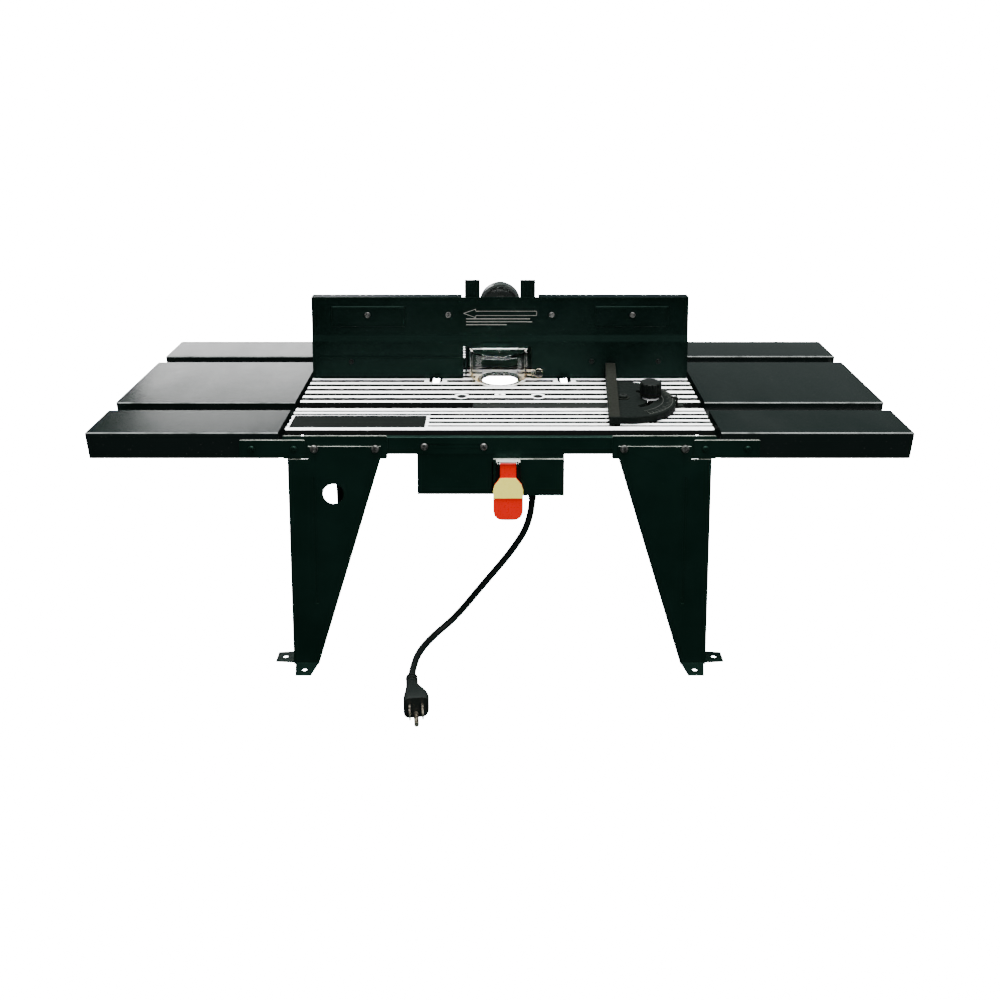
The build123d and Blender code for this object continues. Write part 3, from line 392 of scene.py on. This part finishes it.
def label_film():
    """Blank dark plate with a fine pebbled face."""
    s = Shader("label_film", Specular_IOR_Level=0.06)
    pebble = s.noise(420.0, 3.0)
    fleck = s.remap(pebble, 0.45, 0.7, 0.0, 1.0)
    s.colour(s.mix(fleck, (0.0006, 0.0013, 0.0010), (0.0045, 0.0062, 0.0050)))
    s.roughness(s.remap(pebble, 0.3, 0.7, 0.78, 0.95))
    s.bump(pebble, 0.3, 0.0003)
    return s.material


def zinc(name="zinc", metallic=1.0):
    """Zinc-plated steel with slight yellow and blue mottling."""
    s = Shader(name, Metallic=metallic)
    mottle = s.noise(180.0, 3.0)
    s.colour(s.mix(mottle, (0.50, 0.50, 0.47), (0.74, 0.75, 0.78)))
    s.roughness(s.remap(s.noise(400.0, 3.0), 0.3, 0.7, 0.22, 0.40))
    s.bump(mottle, 0.08, 0.0001)
    return s.material


def black_zinc():
    """Dark plated screws, brighter where the plating wears, but painted over on the fence's lower sheets.
    """
    s = Shader("black_zinc", Metallic=0.85)
    wear = s.remap(s.noise(350.0, 3.0), 0.4, 0.65, 0.0, 1.0)
    plated = s.mix(wear, (0.03, 0.032, 0.03), (0.20, 0.20, 0.19))
    s.colour(s.mix(s.between(*PAINTED_SCREWS, 0.001), plated, (0.002, 0.004, 0.0032)))
    s.roughness(s.remap(wear, 0.0, 1.0, 0.45, 0.30))
    s.bump(wear, 0.08, 0.0001)
    return s.material


def runner_steel():
    """Blackened cold-drawn runner."""
    s = Shader("runner_steel", Specular_IOR_Level=0.1)
    drawn = s.noise(70.0, 3.0, along=s.stretched((0.4, 10.0, 10.0)))
    s.colour(s.mix(drawn, (0.0010, 0.0020, 0.0015), (0.0035, 0.0050, 0.0040)))
    s.roughness(s.remap(drawn, 0.3, 0.7, 0.72, 0.88))
    s.bump(drawn, 0.1, 0.0002)
    return s.material


def moulded_black():
    """Black moulded plastic with a fine sparked grain."""
    s = Shader("moulded_black", Specular_IOR_Level=0.08)
    fine = s.noise(1100.0, 2.0)
    s.colour(s.mix(s.noise(30.0, 3.0), (0.0010, 0.0018, 0.0014), (0.0024, 0.0038, 0.0030)))
    s.roughness(s.remap(fine, 0.3, 0.7, 0.50, 0.66))
    s.bump(fine, 0.15, 0.0002)
    return s.material


def port_plastic():
    """Grey-black moulded port, a little glossier, with flow marks."""
    s = Shader("port_plastic", Specular_IOR_Level=0.5)
    flow = s.noise(60.0, 3.0, distortion=0.6)
    s.colour(s.mix(flow, (0.010, 0.013, 0.012), (0.030, 0.034, 0.032)))
    s.roughness(s.remap(flow, 0.3, 0.7, 0.22, 0.34))
    s.bump(s.noise(900.0, 2.0), 0.1, 0.0002)
    return s.material


def cast_head():
    """Flat paint over a rough die casting: grey-brown on top of the face bar, darker on the disc."""
    s = Shader("cast_head", Specular_IOR_Level=0.06)
    cast = s.noise(260.0, 4.0)
    cloud = s.noise(22.0, 4.0)
    disc = s.mix(cloud, (0.0004, 0.0013, 0.0009), (0.0010, 0.0024, 0.0017))
    bar = s.mix(cloud, (0.0030, 0.0036, 0.0026), (0.0062, 0.0070, 0.0050))
    raised = s.remap(s.axis("Z"), TABLE_TOP + 0.0092, TABLE_TOP + 0.0098, 0.0, 1.0)
    up = s.remap(s.normal_z(), 0.5, 0.8, 0.0, 1.0)
    s.colour(s.mix(s.times(raised, up), disc, bar))
    s.roughness(s.remap(cast, 0.3, 0.7, 0.70, 0.88))
    s.bump(cast, 0.25, 0.0004)
    return s.material


def gloss_plastic(name, dark, light):
    """Coloured moulded plastic of the paddle and the start button."""
    s = Shader(name, Specular_IOR_Level=0.3)
    shade = s.noise(90.0, 3.0)
    s.colour(s.mix(shade, dark, light))
    s.roughness(s.remap(s.noise(500.0, 3.0), 0.3, 0.7, 0.24, 0.36))
    s.bump(s.noise(700.0, 2.0), 0.06, 0.0002)
    return s.material


def cord_jacket():
    """Vinyl jacket of the cord and its plug, with a little dust."""
    s = Shader("cord_jacket", Specular_IOR_Level=0.12)
    fine = s.noise(650.0, 3.0)
    s.colour(s.mix(fine, (0.0010, 0.0022, 0.0018), (0.0035, 0.0055, 0.0046)))
    s.roughness(s.remap(fine, 0.3, 0.7, 0.5, 0.65))
    s.bump(fine, 0.15, 0.0003)
    return s.material


def blade_metal():
    """Brass blades of the plug, with worn plating."""
    s = Shader("blade_metal", Metallic=1.0)
    wear = s.noise(260.0, 4.0)
    s.colour(s.mix(wear, (0.46, 0.38, 0.24), (0.80, 0.76, 0.66)))
    s.roughness(s.remap(wear, 0.3, 0.7, 0.2, 0.38))
    s.bump(wear, 0.08, 0.0001)
    return s.material


def clear_guard():
    """Clear polycarbonate, amber along its lower rim."""
    s = Shader("clear_guard", IOR=1.38, Transmission_Weight=1.0, Specular_IOR_Level=0.5)
    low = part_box("bit_guard")[0][2]
    rim = s.remap(s.axis("Z"), low + 0.002, low + 0.022, 1.0, 0.0, smooth=True)
    haze = s.noise(90.0, 3.0)
    edge = s.times(rim, s.remap(haze, 0.35, 0.65, 0.55, 1.0))
    s.colour(s.mix(edge, (0.97, 0.98, 0.96), (0.86, 0.66, 0.34)))
    s.roughness(s.remap(haze, 0.3, 0.7, 0.0, 0.03))
    s.bump(s.noise(60.0, 2.0), 0.03, 0.0005)
    return s.material


def mark_ink():
    """Pale screen-printed ink."""
    s = Shader("mark_ink", Specular_IOR_Level=0.3)
    patch = s.noise(700.0, 3.0)
    s.colour(s.mix(patch, (0.07, 0.075, 0.065), (0.20, 0.20, 0.18)))
    s.roughness(s.remap(patch, 0.3, 0.7, 0.5, 0.65))
    return s.material


def mark_scale():
    """Graduations abraded a little paler than the casting."""
    s = Shader("mark_scale", Specular_IOR_Level=0.2)
    wear = s.noise(300.0, 3.0)
    s.colour(s.mix(wear, (0.010, 0.012, 0.010), (0.030, 0.032, 0.028)))
    s.roughness(s.remap(wear, 0.3, 0.7, 0.45, 0.6))
    return s.material


def studio_white():
    """Pale seamless floor and wall, lit so evenly that it reads as white."""
    s = Shader("studio_white", Specular_IOR_Level=0.0, Emission_Strength=16.0)
    s.bsdf.inputs["Emission Color"].default_value = (1, 1, 1, 1)
    s.colour(s.mix(s.noise(3.0, 2.0), (0.93, 0.93, 0.93), (0.96, 0.96, 0.96)))
    s.bsdf.inputs["Roughness"].default_value = 0.8
    return s.material


# ---- which node wears what ----------------------------------------------------------------
def slot_materials():
    """One material for each of the record's material slots."""
    return {
        "cast_top": cast_top(),
        "ring_metal": turned_aluminium(),
        "label": label_film(),
        "black_steel": steel_paint(),
        "wing_steel": wing_paint(),
        "zinc": zinc(),
        "black_zinc": black_zinc(),
        "black_plastic": moulded_black(),
        "clear_plastic": clear_guard(),
        "cast_head": cast_head(),
        "red_plastic": gloss_plastic("red_plastic", (0.60, 0.0040, 0.0004), (0.68, 0.0060, 0.0006)),
        "cream_plastic": gloss_plastic("cream_plastic", (0.98, 0.84, 0.13), (0.99, 0.90, 0.17)),
        "green_plastic": gloss_plastic("green_plastic", (0.02, 0.22, 0.05), (0.03, 0.30, 0.08)),
        "cord_rubber": cord_jacket(),
        "blade_brass": blade_metal(),
    }


def node_materials(slots):
    """Nodes whose look differs from their slot's usual one."""
    runner = runner_steel()
    # steel paint with painted highlights along upward edges, for the rails, panels, legs and switch cover
    edge_highlight_paint = steel_paint("steel_paint_edge_highlights", RAIL_EDGES)
    # darker copy of the steel paint, painted shade for the strip, base, gussets and chute behind the fence
    behind = steel_paint("steel_paint_strip", None, 0.30, 0.10)
    special = {
        # the fence: darker copy of the steel paint as painted shade, with a painted highlight along its
        # ledge
        "fence_body": steel_paint("steel_paint_fence", LEDGE_EDGES, 0.30, 0.10),
        "miter_washer": zinc("zinc_dull", 0.3),
        "guard_screw": slots["black_zinc"],
        "wing_screws": slots["black_steel"],
        "dust_port": port_plastic(),
        "switch_cover": edge_highlight_paint,
    }
    for node in ("miter_bar", "miter_pointer", "miter_pivot_screw"):
        special[node] = runner
    for node in ("outfeed_strip", "fence_base", "left_gusset", "right_gusset", "dust_chute"):
        special[node] = behind
    for corner in ("front_left", "front_right", "rear_left", "rear_right"):
        for kind in ("wing_bar", "panel", "leg"):
            special[f"{corner}_{kind}"] = edge_highlight_paint
    return special


def dress_nodes():
    """Gives every CAD node its material and returns the materials by slot."""
    slots = slot_materials()
    special = node_materials(slots)
    for part in frame["record"]["subparts"]:
        node = part["node"]
        for slot in frame["nodes"][node].material_slots:
            slot.link = "OBJECT"
            slot.material = special.get(node) or slots[part["material_slot"]]
    return slots


def soften_edges():
    """Small rounded edges on the folded, cast and moulded pieces, so that they catch the light."""
    widths = dict(EDGE_WIDTHS)
    for name in frame["nodes"]:
        if name.endswith(FOLDED_SHEETS):
            widths[name] = FOLDED_EDGE
    for name, width in widths.items():
        node = frame["nodes"][name]
        weld = node.modifiers.new("weld", "WELD")
        weld.merge_threshold = WELD_GAP
        bevel = node.modifiers.new("edges", "BEVEL")
        bevel.width = width
        bevel.segments = 2
        bevel.limit_method = "ANGLE"
        bevel.angle_limit = EDGE_ANGLE


# ---- cord ---------------------------------------------------------------------------------
def add_cord(material):
    """The mains cord as one smooth spline that ends in the plug."""
    data = bpy.data.curves.new("mains_cord", "CURVE")
    data.dimensions = "3D"
    data.bevel_depth = CORD_DIAMETER / 2
    data.bevel_resolution = 6
    data.resolution_u = 16
    spline = data.splines.new("NURBS")
    spline.points.add(len(CORD_POINTS) - 1)
    for point, place in zip(spline.points, CORD_POINTS):
        point.co = (*place, 1.0)
    spline.order_u = 3
    spline.use_endpoint_u = True
    cord = bpy.data.objects.new("mains_cord", data)
    data.materials.append(material)
    bpy.context.collection.objects.link(cord)
    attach(cord, "stand")
    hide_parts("cord")


# ---- printed marks on the fence -----------------------------------------------------------
def add_mark(name, outline, ink):
    """Thin closed piece with an outline in X and Z, printed on the fence's upper face."""
    back = FENCE_FRONT + FENCE_STEP
    bm = bmesh.new()
    front_loop = [bm.verts.new((x, back - MARK_THICK, z)) for x, z in outline]
    back_loop = [bm.verts.new((x, back, z)) for x, z in outline]
    bm.faces.new(front_loop)
    bm.faces.new(list(reversed(back_loop)))
    for i in range(len(outline)):
        j = (i + 1) % len(outline)
        bm.faces.new((front_loop[j], front_loop[i], back_loop[i], back_loop[j]))
    bmesh.ops.recalc_face_normals(bm, faces=bm.faces)
    piece = add_mesh(name, bm, ink)
    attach(piece, "fence")


def add_fence_marks():
    """Plain outline of a feed-direction arrow and rule lines in place of the label."""
    ink = mark_ink()
    half = MARK_LINE / 2

    def bar(name, x0, x1, z0, z1):
        add_mark(name, [(x0, z0), (x1, z0), (x1, z1), (x0, z1)], ink)

    def stroke(name, start, end):
        """Straight stroke between two points."""
        d = Vector((end[0] - start[0], end[1] - start[1])).normalized() * half
        n = (-d.y, d.x)
        outline = [(start[0] - n[0], start[1] - n[1]), (end[0] - n[0], end[1] - n[1]),
                   (end[0] + n[0], end[1] + n[1]), (start[0] + n[0], start[1] + n[1])]
        add_mark(name, outline, ink)

    tip = (ARROW_TIP, (ARROW_TOP + ARROW_LOW) / 2)
    stroke("mark_head_top", tip, (ARROW_NECK, ARROW_TOP + ARROW_FLARE))
    stroke("mark_head_low", tip, (ARROW_NECK, ARROW_LOW - ARROW_FLARE))
    bar("mark_barb_top", ARROW_NECK - half, ARROW_NECK + half, ARROW_TOP, ARROW_TOP + ARROW_BARB)
    bar("mark_barb_low", ARROW_NECK - half, ARROW_NECK + half, ARROW_LOW - ARROW_BARB, ARROW_LOW)
    bar("mark_shaft_top", ARROW_NECK, ARROW_END, ARROW_TOP - MARK_LINE, ARROW_TOP)
    bar("mark_shaft_low", ARROW_NECK, ARROW_END, ARROW_LOW, ARROW_LOW + MARK_LINE)
    bar("mark_shaft_end", ARROW_END - MARK_LINE, ARROW_END, ARROW_LOW, ARROW_TOP)
    for i, end in enumerate(RULE_ENDS):
        z = ARROW_LOW - RULE_DROP - RULE_PITCH * i
        bar(f"mark_rule_{i}", RULE_START, end, z, z + RULE_HIGH)


# ---- scale of the mitre gauge -------------------------------------------------------------
def add_scale_band(name, radii, angles, steps, metal):
    """Closed low band of a ring about the pivot, between two radii and two bearings."""
    bm = bmesh.new()
    rows = []
    for i in range(steps + 1):
        a = HEAD_TURN + angles[0] + (angles[1] - angles[0]) * i / steps
        rows.append([bm.verts.new((PIVOT[0] + r * math.cos(a), PIVOT[1] + r * math.sin(a), z))
                     for r in radii for z in (HEAD_FACE, HEAD_FACE + SCALE_HIGH)])
    for p, q in zip(rows, rows[1:]):
        for i, j in ((0, 1), (1, 3), (3, 2), (2, 0)):
            bm.faces.new((p[i], p[j], q[j], q[i]))
    bm.faces.new([rows[0][i] for i in (0, 1, 3, 2)])
    bm.faces.new([rows[-1][i] for i in (2, 3, 1, 0)])
    bmesh.ops.recalc_face_normals(bm, faces=bm.faces)
    piece = add_mesh(name, bm, metal)
    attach(piece, "miter_head")


def add_gauge_scale():
    """Raised graduations along the head's rim and two fine arcs, cast with the disc."""
    metal = mark_scale()
    for i, r in enumerate(ARC_RADII):
        add_scale_band(f"scale_arc_{i}", (r, r + ARC_WIDE), (-ARC_REACH, ARC_REACH), ARC_STEPS, metal)
    for i in range(2 * TICKS_EACH_SIDE + 1):
        from_middle = i - TICKS_EACH_SIDE
        a = math.radians(TICK_STEP * from_middle)
        inner = LONG_TICK_INNER if from_middle % 3 == 0 else TICK_INNER
        angles = (a - TICK_HALF_ANGLE, a + TICK_HALF_ANGLE)
        add_scale_band(f"scale_tick_{i:02d}", (inner, TICK_OUTER), angles, 1, metal)


# ---- studio -------------------------------------------------------------------------------
def add_sweep():
    """Seamless round floor that curves up into a wall."""
    flat = FLOOR_RADIUS - FLOOR_BEND
    turns = [math.pi / 2 * i / BEND_STEPS for i in range(BEND_STEPS + 1)]
    profile = [(flat + FLOOR_BEND * math.sin(a), FLOOR_BEND - FLOOR_BEND * math.cos(a)) for a in turns]
    profile.append((FLOOR_RADIUS, WALL_TOP))
    bearings = [2 * math.pi * i / WALL_STEPS for i in range(WALL_STEPS)]
    bm = bmesh.new()
    rows = [[bm.verts.new((r * math.cos(a), r * math.sin(a), z)) for a in bearings] for r, z in profile]
    centre = bm.verts.new((0, 0, 0))
    for i in range(WALL_STEPS):
        j = (i + 1) % WALL_STEPS
        bm.faces.new((centre, rows[0][i], rows[0][j]))
        for low, high in zip(rows, rows[1:]):
            bm.faces.new((low[i], high[i], high[j], low[j]))
    for face in bm.faces:
        face.smooth = True
    sweep = add_mesh("studio_sweep", bm, studio_white())
    sweep.visible_glossy = False
    sweep.visible_diffuse = False


def add_soft_box(name, place, aim, size, watts):
    """Area light turned to a point and hidden from the camera."""
    light = bpy.data.lights.new(name, "AREA")
    light.shape = "RECTANGLE"
    light.size, light.size_y = size
    light.energy = watts
    lamp = bpy.data.objects.new(name, light)
    lamp.location = place
    lamp.rotation_euler = (Vector(aim) - Vector(place)).to_track_quat("-Z", "Y").to_euler()
    lamp.visible_camera = False
    bpy.context.collection.objects.link(lamp)


def add_world():
    """Dim even light from all around."""
    world = bpy.data.worlds.new("studio")
    world.use_nodes = True
    background = world.node_tree.nodes["Background"]
    background.inputs["Color"].default_value = WORLD_COLOUR
    background.inputs["Strength"].default_value = WORLD_STRENGTH
    bpy.context.scene.world = world


add_camera()
materials = dress_nodes()
add_cord(materials["cord_rubber"])
soften_edges()
add_fence_marks()
add_gauge_scale()
add_sweep()
for soft_box in SOFT_BOXES:
    add_soft_box(*soft_box)
add_world()
